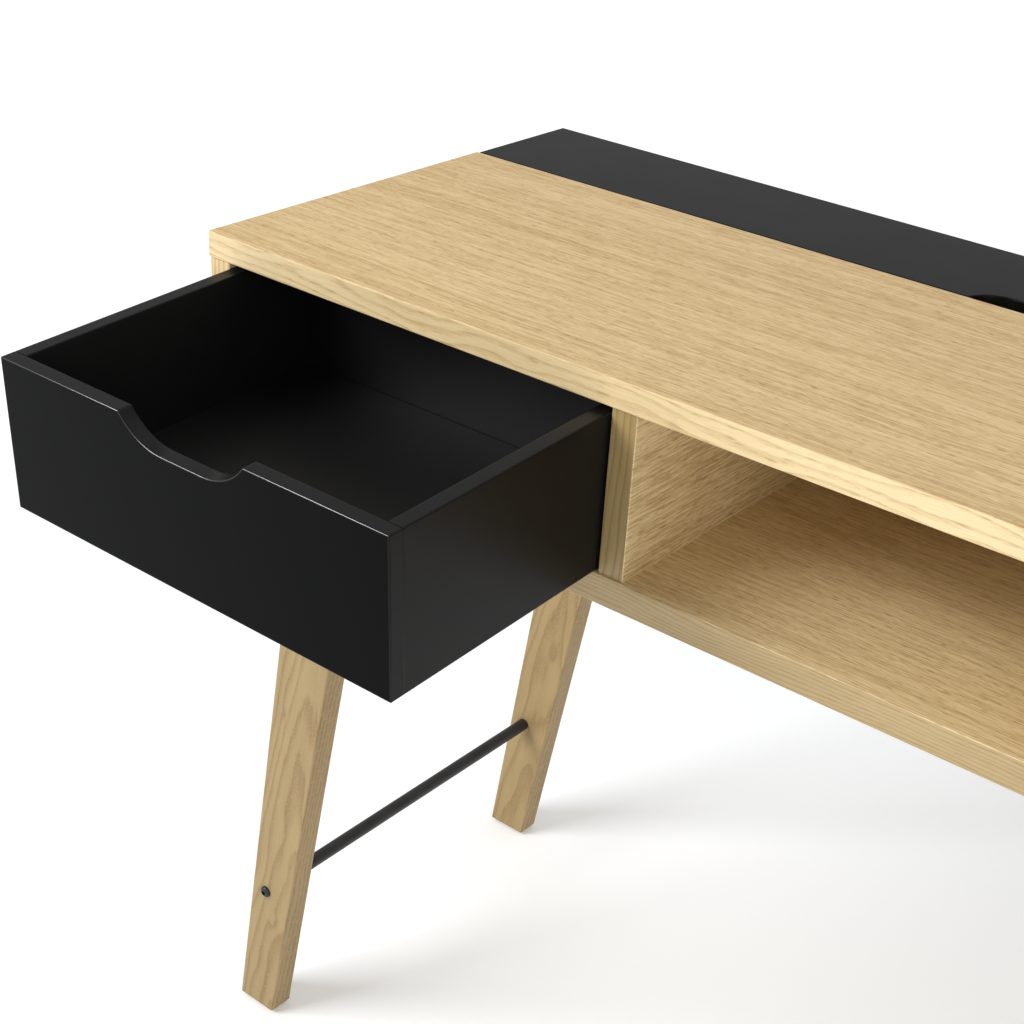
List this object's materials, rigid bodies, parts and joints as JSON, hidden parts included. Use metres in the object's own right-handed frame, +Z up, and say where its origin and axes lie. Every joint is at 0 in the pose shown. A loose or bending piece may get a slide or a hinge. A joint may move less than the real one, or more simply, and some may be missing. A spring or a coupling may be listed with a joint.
{
  "type": "writing desk",
  "caption": "Slim oak writing desk with black drawers beside an open bay, a black hinged lid over a cable compartment, and splayed legs joined by rods.",
  "frame": {"origin": "on the floor, at the middle of the space the desk takes up with its left drawer pulled out", "axes": "+X along the desk to the right, +Y to the back, +Z up"},
  "size_m": [1.08, 0.6333, 0.75],
  "materials": {
    "oak_veneer": "matt oiled oak veneer with fine straight grain",
    "oak_board": "matt oiled oak, edge-banded",
    "oak_solid": "matt oiled solid oak",
    "black_lacquer": "satin black lacquer on board",
    "black_lid": "satin black lacquer on board",
    "black_steel": "satin black powder coat",
    "zinc_steel": "bright zinc plate",
    "nylon": "moulded",
    "felt": "pressed felt"
  },
  "bodies": {
    "desk": {"top_board": "oak_veneer", "compartment_wall": "oak_veneer", "back_panel": "oak_veneer", "bottom_board": "oak_board", "left_side_panel": "oak_board", "right_side_panel": "oak_board", "left_divider": "oak_board", "right_divider": "oak_board", "left_hinge_back_leaf": "black_steel", "left_hinge_pin": "zinc_steel", "rod_left": "black_steel", "right_hinge_back_leaf": "black_steel", "right_hinge_pin": "zinc_steel", "rod_right": "black_steel", "leg_front_left": "oak_solid", "leg_plate_front_left": "black_steel", "foot_pad_front_left": "felt", "rod_screw_front_left": "black_steel", "leg_screw_front_left_a": "zinc_steel", "leg_screw_front_left_b": "zinc_steel", "leg_back_left": "oak_solid", "leg_plate_back_left": "black_steel", "foot_pad_back_left": "felt", "rod_screw_back_left": "black_steel", "leg_screw_back_left_a": "zinc_steel", "leg_screw_back_left_b": "zinc_steel", "leg_front_right": "oak_solid", "leg_plate_front_right": "black_steel", "foot_pad_front_right": "felt", "rod_screw_front_right": "black_steel", "leg_screw_front_right_a": "zinc_steel", "leg_screw_front_right_b": "zinc_steel", "leg_back_right": "oak_solid", "leg_plate_back_right": "black_steel", "foot_pad_back_right": "felt", "rod_screw_back_right": "black_steel", "leg_screw_back_right_a": "zinc_steel", "leg_screw_back_right_b": "zinc_steel"},
    "lid": {"lid": "black_lid", "left_hinge_lid_leaf": "black_steel", "right_hinge_lid_leaf": "black_steel"},
    "left_drawer": {"left_drawer_front": "black_lacquer", "left_drawer_left_side": "black_lacquer", "left_drawer_right_side": "black_lacquer", "left_drawer_back": "black_lacquer", "left_drawer_floor": "black_lacquer"},
    "left_glides": {"left_drawer_left_glide": "nylon", "left_drawer_right_glide": "nylon"},
    "right_drawer": {"right_drawer_front": "black_lacquer", "right_drawer_left_side": "black_lacquer", "right_drawer_right_side": "black_lacquer", "right_drawer_back": "black_lacquer", "right_drawer_floor": "black_lacquer"},
    "right_glides": {"right_drawer_left_glide": "nylon", "right_drawer_right_glide": "nylon"}
  },
  "joints": [
    {"name": "lid_hinge", "type": "hinge", "parent": "desk", "child": "lid", "pos_m": [0, 0.31347, 0.73], "axis": [-1, 0, 0], "range_deg": [0, 100]},
    {"name": "left_drawer_slide", "type": "slide", "parent": "desk", "child": "left_glides", "axis": [0, -1, 0], "range_m": [-0.2, 0.015]},
    {"name": "left_drawer_droop", "type": "hinge", "parent": "left_glides", "child": "left_drawer", "pos_m": [-0.34365, -0.04003, 0.61415], "axis": [1, 0, 0], "range_deg": [-3, 0.23]},
    {"name": "right_drawer_slide", "type": "slide", "parent": "desk", "child": "right_glides", "axis": [0, -1, 0], "range_m": [0, 0.215]},
    {"name": "right_drawer_droop", "type": "hinge", "parent": "right_glides", "child": "right_drawer", "pos_m": [0.34365, 0.15997, 0.61415], "axis": [1, 0, 0], "range_deg": [0, 3.23]}
  ],
  "couplings": [
    {"joint": "left_drawer_droop", "follows": "left_drawer_slide", "rad_per_m": 0.2618},
    {"joint": "right_drawer_droop", "follows": "right_drawer_slide", "rad_per_m": 0.2618}
  ]
}
